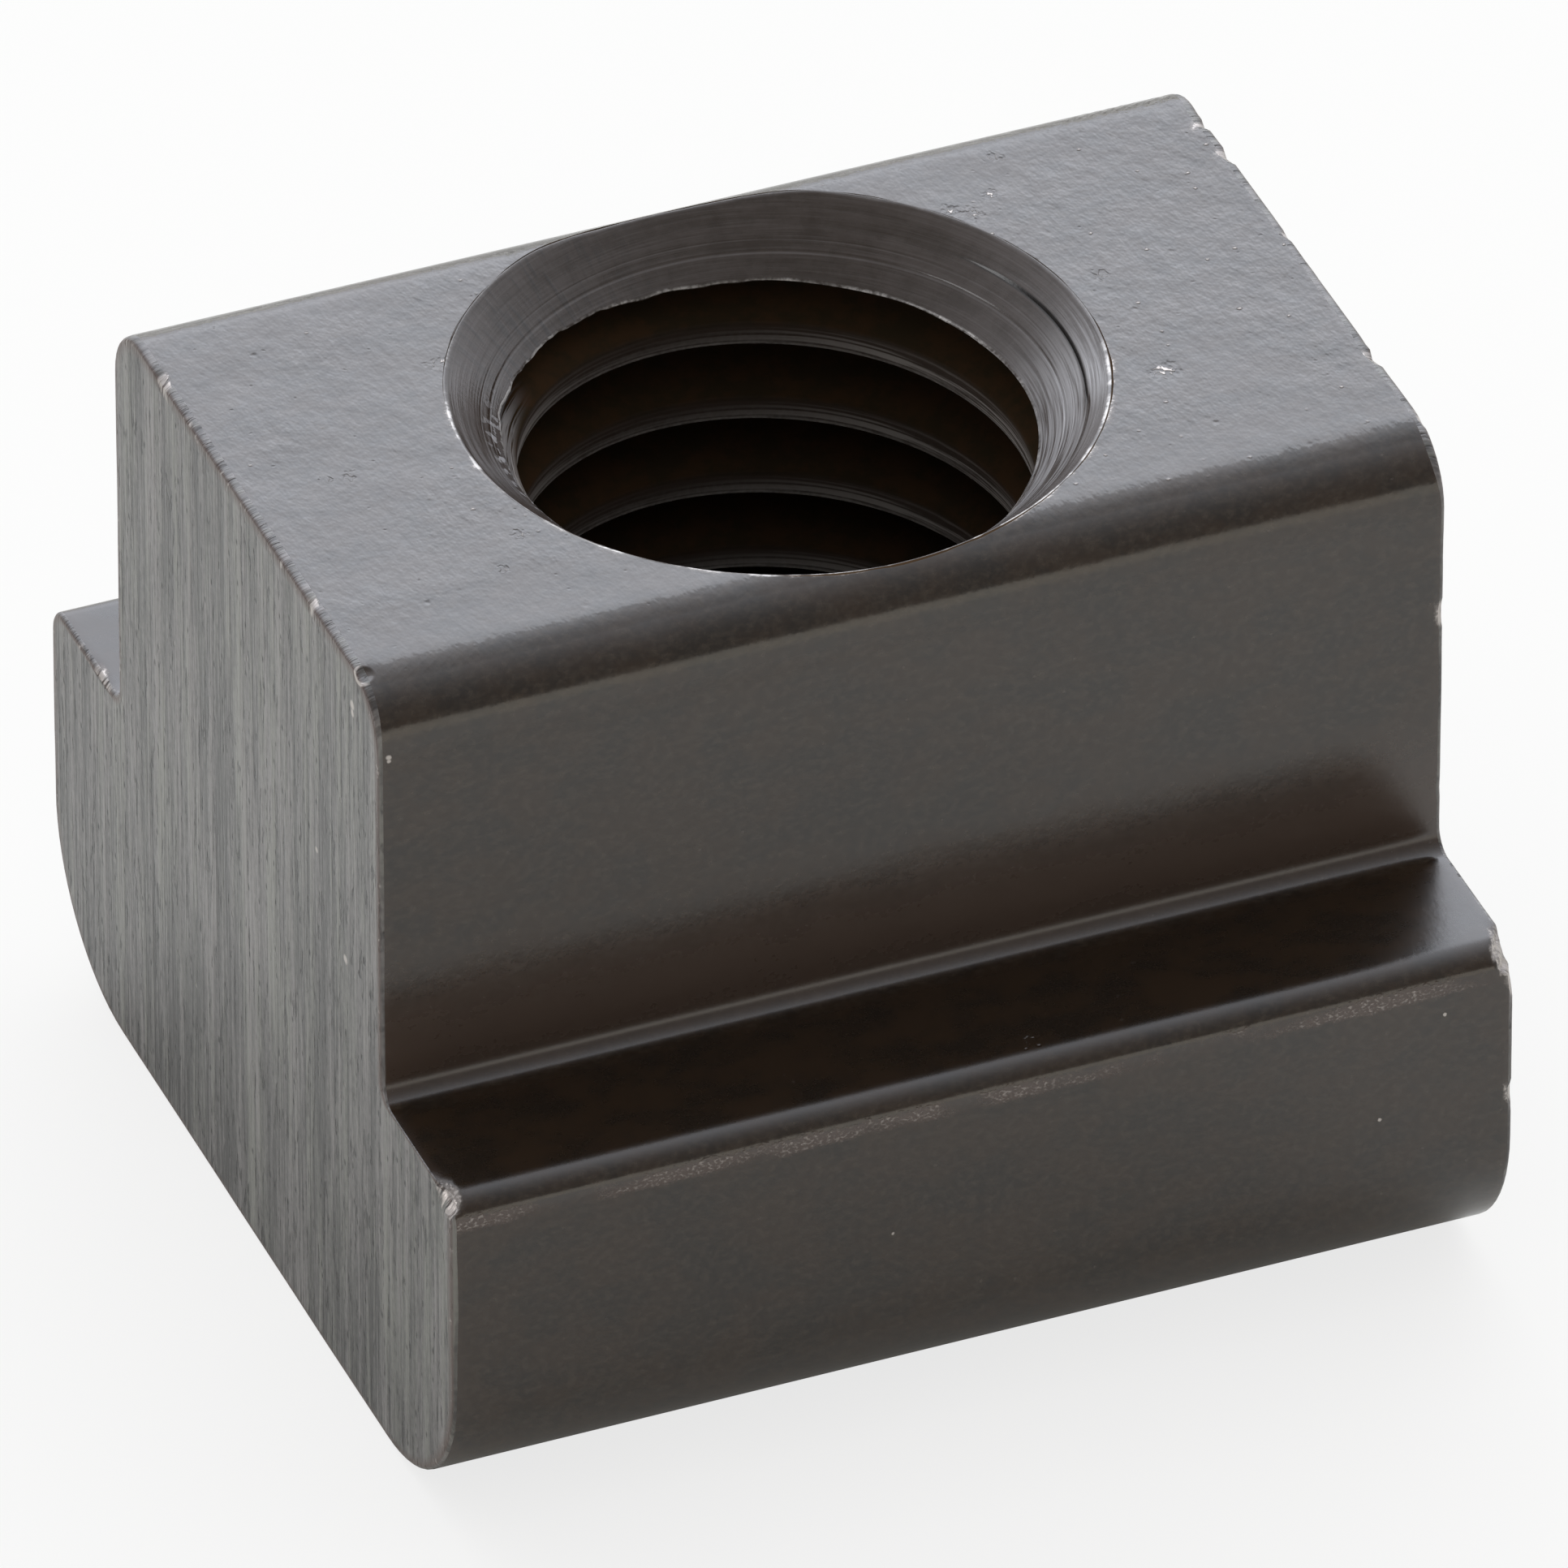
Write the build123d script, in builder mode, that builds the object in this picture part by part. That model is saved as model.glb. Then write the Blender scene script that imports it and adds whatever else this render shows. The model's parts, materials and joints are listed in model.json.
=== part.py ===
from build123d import *
from math import radians, tan
import os

# T-slot nut for a 12 mm slot, tapped M10. Sizes are in millimetres.
# The origin is the middle of the underside. X runs along the slot, Y across it,
# and Z up through the tapped hole. The nut is one piece of steel, so one solid.

# Section of the drawn T bar
neck_width = 11.8             # slides in the 12 mm slot
flange_width = 18.0
flange_height = 6.8           # underside to the clamping shoulders
overall_height = 14.7
base_radius = 3.0             # rounded lower edges that clear the slot's root
shoulder_radius = 0.5         # outer edges of the clamping shoulders
root_radius = 0.35            # hollow corner between shoulder and neck
crown_radius = 1.15           # upper edges of the neck

# Sawn length
sawn_length = 18.6
burr_break = 0.12             # edge break round both sawn ends

# Tapped hole, left as the plain core that the M10 x 1.5 thread is cut into
core_diameter = 8.5
mouth_diameter = 10.8         # upper countersink, which breaks into the crown radii
outlet_diameter = 10.2        # lower countersink
countersink_angle = 90        # included angle of both cones

SAME_PLACE = 0.01             # how near an edge lies to the place it is looked for


def countersink_depth(rim_diameter):
    """Depth of a countersink from its rim down to the core of the hole."""
    return (rim_diameter - core_diameter) / 2 / tan(radians(countersink_angle / 2))


def bar_edges(bar, half_width, level):
    """The two edges along the bar at this distance off centre and this level."""
    return bar.edges().filter_by(Axis.X).filter_by(
        lambda edge: abs(abs(edge.center().Y) - half_width) < SAME_PLACE
        and abs(edge.center().Z - level) < SAME_PLACE
    )


with BuildPart() as t_slot_nut:
    # T bar: a wide flange with the neck standing on it
    with BuildSketch(Plane.YZ) as bar_section:
        Rectangle(flange_width, flange_height, align=(Align.CENTER, Align.MIN))
        Rectangle(neck_width, overall_height, align=(Align.CENTER, Align.MIN))
    extrude(amount=sawn_length / 2, both=True)

    # The bar's rounded corners, from the underside up
    fillet(bar_edges(t_slot_nut, flange_width / 2, 0), base_radius)
    fillet(bar_edges(t_slot_nut, flange_width / 2, flange_height), shoulder_radius)
    fillet(bar_edges(t_slot_nut, neck_width / 2, flange_height), root_radius)
    fillet(bar_edges(t_slot_nut, neck_width / 2, overall_height), crown_radius)

    # Sawn ends with their burrs broken
    chamfer(t_slot_nut.faces().filter_by(Axis.X).edges(), burr_break)

    # Core of the tapped hole, countersunk above and below
    with BuildSketch(Plane.XZ) as hole_section:
        with BuildLine():
            Polyline(
                (0, 0),
                (outlet_diameter / 2, 0),
                (core_diameter / 2, countersink_depth(outlet_diameter)),
                (core_diameter / 2, overall_height - countersink_depth(mouth_diameter)),
                (mouth_diameter / 2, overall_height),
                (0, overall_height),
                close=True,
            )
        make_face()
    revolve(axis=Axis.Z, mode=Mode.SUBTRACT)

t_slot_nut.part.label = "t_slot_nut"

os.makedirs("parts", exist_ok=True)
export_step(t_slot_nut.part, "parts/t_slot_nut.step")
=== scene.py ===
"""Looks of the T-slot nut: one blacked steel nut, its tapped hole, studio floor and light."""
import json
from math import cos, degrees, pi, radians, sin

import bmesh
import bpy
import numpy as np
from mathutils import Matrix, Vector


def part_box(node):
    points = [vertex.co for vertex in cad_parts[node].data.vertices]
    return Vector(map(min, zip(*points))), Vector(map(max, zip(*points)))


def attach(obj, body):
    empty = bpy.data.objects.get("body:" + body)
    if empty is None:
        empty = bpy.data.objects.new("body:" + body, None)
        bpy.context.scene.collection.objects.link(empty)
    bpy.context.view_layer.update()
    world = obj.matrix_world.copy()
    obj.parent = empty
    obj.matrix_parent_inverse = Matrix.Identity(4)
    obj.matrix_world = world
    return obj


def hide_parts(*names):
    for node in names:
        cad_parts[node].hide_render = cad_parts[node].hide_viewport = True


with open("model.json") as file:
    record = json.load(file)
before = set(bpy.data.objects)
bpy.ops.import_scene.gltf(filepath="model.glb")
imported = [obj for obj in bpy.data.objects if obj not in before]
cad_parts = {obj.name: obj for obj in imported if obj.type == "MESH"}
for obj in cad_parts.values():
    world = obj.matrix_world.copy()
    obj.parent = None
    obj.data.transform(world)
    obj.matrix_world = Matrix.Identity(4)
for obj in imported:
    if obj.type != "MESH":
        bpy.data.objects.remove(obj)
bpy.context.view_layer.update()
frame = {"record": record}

# ---------------------------------------------------------------- sizes
# Shapes are worked out in millimetres and put into the meshes in metres.
MM = 0.001
NODE = "t_slot_nut"
box_low, box_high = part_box(NODE)
mounts = {mount["name"]: mount for mount in frame["record"]["mounts"]}

HALF_LENGTH = box_high.x / MM
HALF_FLANGE = box_high.y / MM
HEIGHT = box_high.z / MM
SHOULDER = mounts["shoulder_front"]["pos_m"][2] / MM
CORE = mounts["thread"]["dims"]["r_mm"]           # radius of the hole the thread is cut in

HALF_NECK = 5.9
BASE_RADIUS = 3.0
SHOULDER_RADIUS = 0.5
ROOT_RADIUS = 0.35
CROWN_RADIUS = 1.15
MOUTH_RIM = 5.4
OUTLET_RIM = 5.1
BURR_BREAK = 0.08             # usual width of the broken edge round a sawn end
BURR_REACH = 0.2              # the broken edge is never wider than this

PITCH = 1.5
THREAD_MAJOR = 5.0            # radius at the bottom of the thread groove
CREST_LEVEL = 0.36            # level of one thread crest where it crosses the +X side
FLANK_SLOPE = 3 ** 0.5        # radius gained for each millimetre along a 60 degree thread
CREST_HALF = PITCH / 2 - PITCH / 16 - (THREAD_MAJOR - CORE) / FLANK_SLOPE
CORE_TOP = HEIGHT - (MOUTH_RIM - CORE)            # level at which the countersink meets the core
STEP_RADIUS = 5.03            # where the tool left a step in the countersink
STEP_DROP = 0.075

# ---------------------------------------------------------------- mesh fineness
LENGTH_STEPS = 112
ACROSS_STEPS = 72
COLUMNS = 2 * (LENGTH_STEPS + ACROSS_STEPS)


def arc(centre_y, centre_z, radius, start, end, steps):
    """Points of a circular arc: centre plus radius times the cosine and sine of an even run of angles."""
    angle = np.radians(np.linspace(start, end, steps + 1))
    return np.stack([centre_y + radius * np.cos(angle), centre_z + radius * np.sin(angle)], -1)


def run(start, end, steps):
    """Points evenly spaced on a straight line, both ends left out."""
    share = np.linspace(0, 1, steps + 1)[1:-1, None]
    return (1 - share) * np.array(start) + share * np.array(end)


def side_section():
    """Right half of the T section from the flat base up to the foot of the crown.

    Arcs of the base edge, shoulder edge and root corner, joined by straight runs."""
    base = arc(HALF_FLANGE - BASE_RADIUS, BASE_RADIUS, BASE_RADIUS, -90, 0, 16)
    shoulder = arc(HALF_FLANGE - SHOULDER_RADIUS, SHOULDER - SHOULDER_RADIUS, SHOULDER_RADIUS, 0, 90, 12)
    root = arc(HALF_NECK + ROOT_RADIUS, SHOULDER + ROOT_RADIUS, ROOT_RADIUS, 270, 180, 8)
    crown_foot = np.array([[HALF_NECK, HEIGHT - CROWN_RADIUS]])
    return np.concatenate([
        base, run(base[-1], shoulder[0], 20), shoulder, run(shoulder[-1], root[0], 8),
        root, run(root[-1], crown_foot[0], 32), crown_foot,
    ])


CROWN_FLAT = HALF_NECK - CROWN_RADIUS
CROWN_REACH = CROWN_FLAT + CROWN_RADIUS * pi / 2


def crown_point(across):
    """Place on the top skin at a distance measured over it from the middle line.

    Flat as far as the crown radius, then turning down through the arc."""
    angle = np.clip((np.abs(across) - CROWN_FLAT) / CROWN_RADIUS, 0, pi / 2)
    side = np.minimum(np.abs(across), CROWN_FLAT) + CROWN_RADIUS * np.sin(angle)
    return np.sign(across) * side, HEIGHT - CROWN_RADIUS * (1 - np.cos(angle))


def crown_height(side):
    """Height of the top skin at a sideways distance from the middle line."""
    past = np.clip(np.abs(side) - CROWN_FLAT, 0, CROWN_RADIUS)
    return HEIGHT - CROWN_RADIUS + np.sqrt(CROWN_RADIUS ** 2 - past ** 2)


def eased(steps, crowding):
    """Shares from 0 to 1, closer together at both ends by the amount of crowding."""
    share = np.linspace(0, 1, steps + 1)
    return share - crowding * np.sin(2 * pi * share) / (2 * pi)


def smooth_step(value, low, high):
    """0 below the low value, 1 above the high one, and the cubic 3t2 - 2t3 between."""
    share = np.clip((value - low) / (high - low), 0, 1)
    return share * share * (3 - 2 * share)


def lattice_noise(points, cell, seed):
    """Smooth noise between -1 and 1: random numbers on a cubic lattice, blended by eased weights."""
    place = points / cell
    whole = np.floor(place).astype(int)
    part = place - whole
    part = part * part * (3 - 2 * part)
    table = np.random.default_rng(seed).uniform(-1, 1, (32, 32, 32))
    total = 0
    for corner in np.ndindex(2, 2, 2):
        weight = np.prod(np.where(np.array(corner), part, 1 - part), -1)
        total = total + weight * table[tuple(((whole + corner) % 32).T)].T
    return total


# ---------------------------------------------------------------- the hole
def ring(azimuth, radius, level):
    return np.stack([radius * np.cos(azimuth), radius * np.sin(azimuth), level + 0 * radius * azimuth], -1)


def mouth_rim(azimuth):
    """Radius at which the upper countersink meets the top skin, by halving the gap 40 times."""
    near, far = np.full_like(azimuth, CORE), np.full_like(azimuth, MOUTH_RIM + 0.1)
    for _ in range(40):
        middle = (near + far) / 2
        cone = MOUTH_RIM - (HEIGHT - crown_height(middle * np.sin(azimuth)))
        near, far = np.where(middle < cone, middle, near), np.where(middle < cone, far, middle)
    return (near + far) / 2


def rim_break(azimuth):
    """Width of the small edge break round the mouth, wider and narrower by noise round the circle."""
    spots = ring(azimuth, 5.0 + 0 * azimuth, 0.0)
    return 0.042 + 0.016 * lattice_noise(spots, 0.5, 11) + 0.012 * lattice_noise(spots, 1.9, 12)


def soft_max(first, second, softness):
    """The larger of two values, with the corner between them rounded."""
    gap = np.clip(0.5 + (first - second) / (2 * softness), 0, 1)
    return second + (first - second) * gap + softness * gap * (1 - gap)


def cone_radius(level):
    return MOUTH_RIM - (HEIGHT - level)


def cone_level(radius):
    return HEIGHT - (MOUTH_RIM - radius)


def signed(azimuth):
    """The same direction as an angle between minus and plus half a turn."""
    return np.mod(azimuth + pi, 2 * pi) - pi


def step_drop(azimuth):
    """Height of the step in the countersink: nothing at 38 degrees, full by -5 and gone by -60."""
    turned = -np.degrees(signed(azimuth))
    return STEP_DROP * smooth_step(turned, -38, 5) * (1 - 0.6 * smooth_step(turned, 19, 26)) * (
        1 - smooth_step(turned, 42, 60))


def rim_wear_and_highlight(azimuth):
    """How bare and bright the mouth's edge is made: worn metal together with a painted highlight, strong on the near
    right, thin on the near side and the left, next to nothing on the far side, and broken up by noise round the circle."""
    turned = np.degrees(signed(azimuth))
    near_right = smooth_step(turned, -72, -58) * (1 - smooth_step(turned, -16, -4))
    near = smooth_step(-turned, 60, 75) * (1 - smooth_step(-turned, 135, 160))
    left = smooth_step(np.abs(turned), 140, 165)
    spots = ring(azimuth, 5.4 + 0 * azimuth, 0.0)
    broken = smooth_step(lattice_noise(spots, 0.16, 13) + 0.5 * lattice_noise(spots, 0.6, 14), -0.15, 0.5)
    lumps = 0 * azimuth
    for place, reach in ((-18, 1.8), (-31, 2.2), (-45, 1.5), (-59, 3.0), (-66, 2.5), (168, 1.6), (-176, 1.2)):
        lumps = lumps + np.exp(-((turned - place) / reach) ** 2)
    return np.clip((0.1 + 0.7 * near_right + 0.55 * near + 0.35 * left) * broken + lumps, 0, 1)


def lip_level(azimuth):
    """Level of the lip that the countersink hangs over the first thread groove.

    It leaves the core's top at 17 degrees, climbs 0.1 mm a radian and drops back behind 270
    degrees. Torn metal makes it wavy between 75 and 165 degrees."""
    turned = np.mod(azimuth - radians(17), 2 * pi)
    drop = smooth_step(turned, radians(255), radians(318))
    spots = ring(azimuth, 4.4 + 0 * azimuth, 0.0)
    torn = smooth_step(azimuth, radians(68), radians(84)) * (1 - smooth_step(azimuth, radians(150), radians(175)))
    wave = 0.012 * lattice_noise(spots, 0.9, 21) + torn * (
        0.035 * lattice_noise(spots, 0.62, 22) + 0.02 * lattice_noise(spots, 0.21, 23))
    return CORE_TOP + 0.1 * turned * (1 - drop) + wave * (1 - drop)


def lip_thickness(azimuth):
    """How far the lip is rounded over: fine all round and thicker where the metal is torn."""
    spots = ring(azimuth, 4.4 + 0 * azimuth, 0.0)
    torn = smooth_step(azimuth, radians(70), radians(84)) * (1 - smooth_step(azimuth, radians(104), radians(125)))
    return 0.018 + 0.03 * torn + 0.008 * lattice_noise(spots, 0.3, 24)


def wall_radius(azimuth, level):
    """Radius of the wall below the lip: the core, widened by the thread groove and by both cones."""
    turn = (level - CREST_LEVEL) / PITCH - azimuth / (2 * pi)
    from_groove = np.abs(turn - np.floor(turn) - 0.5) * PITCH
    groove = THREAD_MAJOR - FLANK_SLOPE * np.maximum(0, from_groove - PITCH / 16)
    wall = soft_max(groove, CORE, 0.035)
    wall = soft_max(wall, cone_radius(level), 0.01)
    return soft_max(wall, OUTLET_RIM - level, 0.02)


def hole_wall(azimuth, rim, rim_width):
    """Wall of the hole as rows of rings from the mouth down to the outlet, and how bare each row is, with a painted
    highlight added round the mouth's rim.

    The mouth's edge is a quadratic curve over its corner. The countersink runs straight to the
    lip and folds under it. Rows in the thread climb with its helix, one pitch a turn, and stop
    at the lip and at a flat ring below, so the thread's edges run along the mesh and the seam
    closes on itself."""
    lower_ring = 0.1
    corner = ring(azimuth, rim, crown_height(rim * np.sin(azimuth)))
    outer = rim + rim_width
    start = ring(azimuth, outer, crown_height(outer * np.sin(azimuth)))
    inner_level = corner[:, 2] - rim_width
    inner = ring(azimuth, cone_radius(inner_level), inner_level)
    rows, bare = [], []
    for share, shown in ((0, 0.9), (0.2, 1.0), (0.4, 0.9), (0.6, 0.6), (0.8, 0.3), (1.0, 0.0)):
        rows.append((1 - share) ** 2 * start + 2 * share * (1 - share) * corner + share ** 2 * inner)
        bare.append(shown * rim_wear_and_highlight(azimuth))

    lip, fold = lip_level(azimuth), lip_thickness(azimuth)
    drop, step = step_drop(azimuth), STEP_RADIUS + 0.05 * smooth_step(-signed(azimuth), radians(19), radians(26))
    inner_radius = cone_radius(inner_level)
    for past_step in (0.5, 0.1, 0.0):
        radius = step + past_step * (inner_radius - step)
        rows.append(ring(azimuth, radius, cone_level(radius) + drop * (1 - past_step)))
        bare.append(0)
    for before in (0.005, 0.02):
        rows.append(ring(azimuth, step - before, cone_level(step - before)))
        bare.append(0)
    torn_light = smooth_step(azimuth, radians(140), radians(147)) * (1 - smooth_step(azimuth, radians(155), radians(160)))
    lip_shine = 0.35 + 0.4 * smooth_step(lattice_noise(ring(azimuth, 4.4 + 0 * azimuth, 0.0), 0.3, 25), -0.2, 0.5) + (
        2.0 * torn_light)
    step_foot = cone_level(step - 0.02)
    for share in (0.1, 0.25, 0.4, 0.55, 0.7, 0.82, 0.93, 1.0):
        level = (1 - share) * step_foot + share * lip
        rows.append(ring(azimuth, cone_radius(level), level))
        bare.append(0.75 * lip_shine if share == 1.0 else 0)
    under = wall_radius(azimuth, lip - fold)
    overhang = np.minimum(under - cone_radius(lip), 0.6 * fold)
    rows.append(ring(azimuth, cone_radius(lip) + 0.1 * overhang, lip - 0.4 * fold))
    rows.append(ring(azimuth, cone_radius(lip) + 0.5 * overhang, lip - 0.8 * fold))
    rows.append(ring(azimuth, cone_radius(lip) + overhang, lip - fold))
    bare += [0.35 * lip_shine, 0.25 * lip_shine, 0.1]

    edge = np.array([-0.045, 0, 0.045])
    root_edge = PITCH / 2 - PITCH / 16
    in_pitch = np.concatenate([
        -CREST_HALF + edge, CREST_HALF + edge, [root_edge - 0.03, root_edge + 0.03],
        [PITCH - root_edge - 0.03, PITCH - root_edge + 0.03]])
    worn = [0.05, 0.25, 0.1, 0, 0, 0, 0, 0, 0, 0]
    turns = np.arange(int(HEIGHT / PITCH), -3, -1)
    climb = (CREST_LEVEL + PITCH * turns[:, None] + in_pitch[None, ::-1]).ravel()[:, None]
    ceiling = lip - fold * 1.02
    levels = np.clip(climb + PITCH * azimuth / (2 * pi), lower_ring, ceiling)
    rows += list(ring(azimuth, wall_radius(azimuth, levels), levels))
    bare += list(np.tile(worn[::-1], len(turns)))
    for level in (0.06, 0.03, 0.0):
        rows.append(ring(azimuth, wall_radius(azimuth, level + 0 * azimuth), level + 0 * azimuth))
        bare.append(0)
    rows[-1] = ring(azimuth, OUTLET_RIM + 0 * azimuth, 0 * azimuth)
    return np.stack(rows), np.stack([mark * np.ones(len(azimuth)) for mark in bare])


# ---------------------------------------------------------------- knocks
END = HALF_LENGTH
# Chips on the edges: place, the way the chipped face looks, depth below the place, and reach.
CHIPS = [
    ((END, -8.75, SHOULDER - 0.2), (0.75, -0.45, 0.5), 0.16, 0.75),      # corner of the flange, right end
    ((END, -9.0, SHOULDER - 0.85), (0.8, -0.6, 0.1), 0.06, 0.35),
    ((END, -9.0, 3.93), (0.7, -0.7, 0.1), 0.085, 0.22),        # two bites down the same edge
    ((END, -9.0, 3.7), (0.7, -0.7, -0.2), 0.05, 0.16),
    ((END, -5.9, 11.4), (0.7, -0.7, 0.1), 0.08, 0.2),          # edge of the neck, right end
    ((END, -5.9, 9.2), (0.7, -0.7, 0.0), 0.03, 0.5),
    ((END, -3.05, 14.7), (0.65, 0.3, 0.7), 0.1, 0.26),         # top edge, right end
    ((END, -4.9, 14.68), (0.7, -0.1, 0.7), 0.06, 0.3),
    ((END, 0.6, 14.7), (0.7, 0.2, 0.7), 0.045, 0.22),
    ((END, 3.1, 14.7), (0.6, 0.3, 0.75), 0.09, 0.3),
    ((END, 4.1, 14.7), (0.6, 0.4, 0.7), 0.09, 0.28),
    ((-END, -2.8, 14.7), (-0.6, -0.3, 0.75), 0.075, 0.28),     # top edge, left end
    ((-END, -0.95, 14.7), (-0.7, 0.2, 0.7), 0.04, 0.2),
    ((-END, 2.35, 14.7), (-0.7, 0.1, 0.7), 0.04, 0.25),
    ((-END, 3.6, 14.7), (-0.6, 0.3, 0.7), 0.07, 0.3),
    ((-END, -8.62, SHOULDER - 0.2), (-0.7, -0.3, 0.6), 0.07, 0.35),      # corner of the flange, left end
    ((-END, 6.7, SHOULDER), (-0.7, 0.1, 0.7), 0.08, 0.3),          # back shoulder, left end
    ((-END, 7.6, SHOULDER), (-0.7, -0.1, 0.7), 0.05, 0.25),
    ((END, -8.2, 0.78), (0.7, -0.5, -0.5), 0.07, 0.3),         # foot, right end
    ((END, 8.9, 5.2), (0.7, 0.7, 0.0), 0.06, 0.3),             # plain knocks on the far side
    ((2.4, 9.0, SHOULDER - 0.65), (0.0, 0.9, 0.4), 0.03, 0.3),
    ((-6.1, 9.0, SHOULDER - 0.75), (0.0, 0.9, 0.4), 0.025, 0.35),
]
# Small round dents: place, the way the skin looks there, depth and reach.
DENTS = [
    ((-END + 0.06, -5.11, 14.64), (-0.4, -0.3, 0.85), 0.07, 0.13),       # punched corner of the crown
    ((-4.38, -5.3, 14.6), (0, -0.4, 0.9), 0.012, 0.35),
    ((-2.7, 5.0, 14.68), (0, 0.2, 1), 0.01, 0.25),
    ((8.3, -2.9, 14.7), (0, 0, 1), 0.012, 0.45),
    ((5.6, 3.9, 14.7), (0, 0, 1), 0.014, 0.3),
    ((-8.1, 3.2, 14.7), (0, 0, 1), 0.012, 0.35),
    ((5.95, -2.2, 14.7), (0, 0, 1), 0.012, 0.22),
]


def knocked(points):
    """Points after all knocks, and how far bare metal shows at each.

    A chip pushes what stands past its plane back onto it, less so towards its reach. A dent
    sinks by its depth times the bell curve of the distance over its reach."""
    bare = np.zeros(points.shape[:-1])
    rough = 0.3 * lattice_noise(points, 0.13, 31)
    for place, facing, depth, reach in CHIPS:
        facing = np.array(facing) / np.linalg.norm(facing)
        away = points - np.array(place)
        beyond = away @ facing + depth * (1 + rough)
        near = 1 - smooth_step(np.linalg.norm(away, axis=-1), 0.7 * reach, reach)
        push = np.maximum(beyond, 0) * near
        points = points - push[..., None] * facing
        bare = np.maximum(bare, smooth_step(push, 0.0, 0.02))
    for place, facing, depth, reach in DENTS:
        facing = np.array(facing) / np.linalg.norm(facing)
        distance = np.linalg.norm(points - np.array(place), axis=-1)
        points = points - (depth * np.exp(-(distance / reach) ** 2))[..., None] * facing
    return points, bare


# ---------------------------------------------------------------- the nut's surfaces
def outline_columns(half_along, stations, half_across, across_points):
    """Closed run of points round a rectangle, from the middle of its +X end towards +Y."""
    middle = len(across_points) // 2
    ups, downs, backs = across_points[middle:-1], across_points[::-1][:-1], across_points[:middle]
    along = np.concatenate([
        np.full(len(ups), half_along), stations[::-1][:-1], np.full(len(downs), -half_along),
        stations[:-1], np.full(len(backs), half_along),
    ])
    across = np.concatenate([
        ups, np.full(len(stations) - 1, half_across), downs,
        np.full(len(stations) - 1, -half_across), backs,
    ])
    return np.append(along, along[0]), np.append(across, across[0])


def spread(rim_points, edge_points, shares):
    """Rows of points on straight lines from a rim to an outer edge."""
    shares = shares[:, None]
    return (1 - shares) * rim_points + shares * edge_points


def break_width(spots, facing):
    """Width of the broken edge round a sawn end: uneven by noise, and almost none on the front
    shoulder of the left end, where the saw left it sharp."""
    width = BURR_BREAK * (1 + 0.22 * lattice_noise(spots, 1.1, 5) + 0.1 * lattice_noise(spots, 0.35, 6))
    width = width + 0.12 * np.maximum(0, lattice_noise(spots, 0.5, 7) - 0.5)
    on_shoulder = (spots[:, 2] > SHOULDER - 0.06) & (spots[:, 2] < SHOULDER + 0.2) & (spots[:, 1] < -6.1)
    if facing < 0:
        width = np.where(on_shoulder, 0.025, width)
        width = np.convolve(np.concatenate([width[-4:-1], width, width[1:4]]), np.ones(7) / 7, "valid")
    return np.clip(width, 0.02, BURR_REACH - 0.02)


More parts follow.
